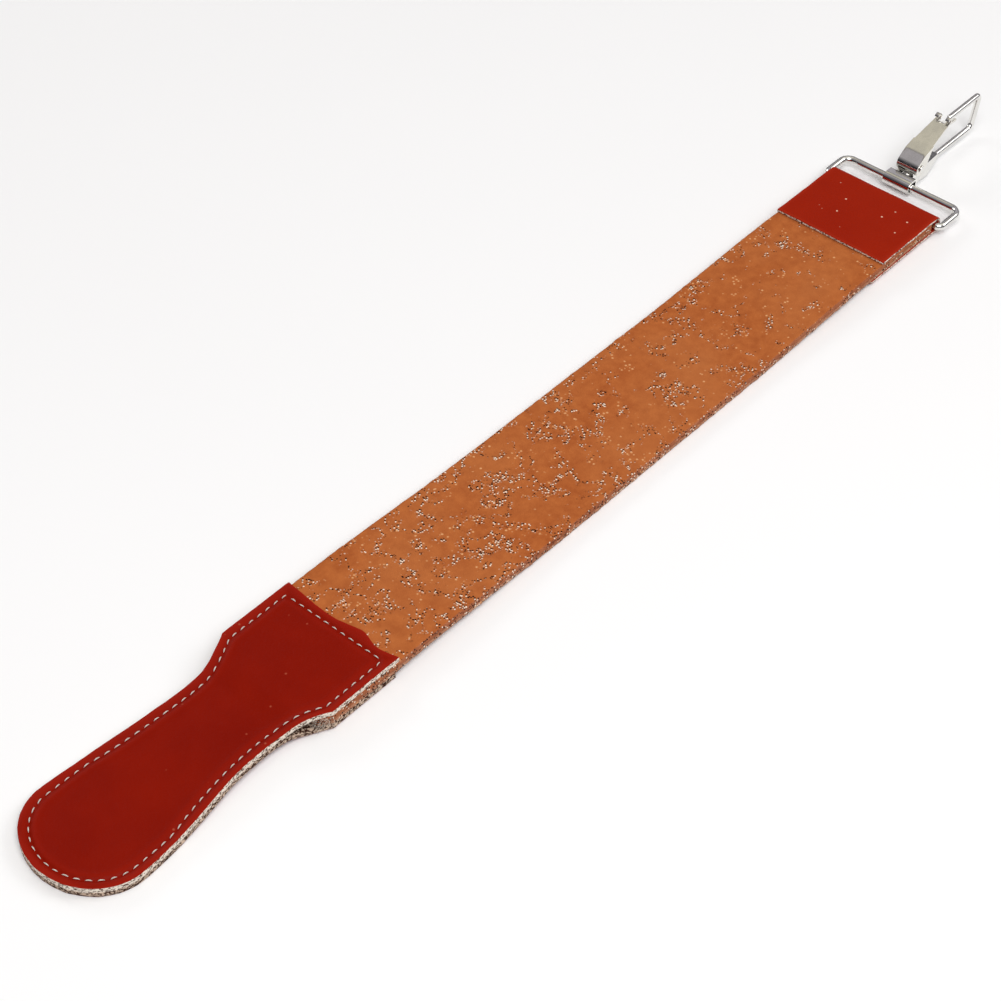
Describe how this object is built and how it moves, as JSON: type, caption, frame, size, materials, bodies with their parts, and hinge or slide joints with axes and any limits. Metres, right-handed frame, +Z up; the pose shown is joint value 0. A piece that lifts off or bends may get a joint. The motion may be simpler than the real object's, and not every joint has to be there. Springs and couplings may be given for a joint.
{
  "type": "leather strop",
  "caption": "Flat leather strop with a sewn paddle handle, a two-layer leather strip, a folded end tab, a wire ring and a swivelling trigger snap.",
  "frame": {"origin": "on the surface that the strop lies on, under the middle of its length and width", "axes": "+X along the strop from the handle towards the snap, +Y across it, +Z up out of the honing face"},
  "size_m": [0.5, 0.057, 0.0209],
  "materials": {
    "handle_leather": "smooth oxblood leather",
    "tab_leather": "smooth oxblood leather",
    "strop_leather": "tan split leather with pits",
    "backing_leather": "rough brown split leather",
    "thread": "waxed thread",
    "nickel": "bright nickel plate"
  },
  "bodies": {
    "strop": {"handle_top_leaf": "handle_leather", "handle_bottom_leaf": "handle_leather", "handle_stitches_top": "thread", "handle_stitches_bottom": "thread", "strop_leather": "strop_leather", "strop_backing": "backing_leather", "end_tab": "tab_leather"},
    "ring": {"wire_ring": "nickel"},
    "saddle": {"clip_saddle": "nickel"},
    "hook": {"hook_body": "nickel", "swivel_stud": "nickel", "swivel_washer": "nickel", "gate_pin": "nickel", "gate_spring": "nickel", "spring_rivet": "nickel"},
    "gate": {"gate_lever": "nickel"}
  },
  "joints": [
    {"name": "ring_swing", "type": "hinge", "parent": "strop", "child": "ring", "pos_m": [0.18135, 0, 0.0039], "axis": [0, -1, 0], "range_deg": [-100, 100]},
    {"name": "clip_swing", "type": "hinge", "parent": "ring", "child": "saddle", "pos_m": [0.19505, 0, 0.0039], "axis": [0, 1, 0], "range_deg": [-60, 60]},
    {"name": "clip_swivel", "type": "hinge", "parent": "saddle", "child": "hook", "pos_m": [0.1982, 0.0018, 0.0039], "axis": [1, 0, 0], "continuous": true},
    {"name": "gate_open", "type": "hinge", "parent": "hook", "child": "gate", "pos_m": [0.20285, 0.0018, 0.0082], "axis": [0, 1, 0], "range_deg": [0, 18], "stiffness_Nm_per_rad": 0.03, "springref_deg": -20.05, "deforming": ["gate_spring"]}
  ]
}
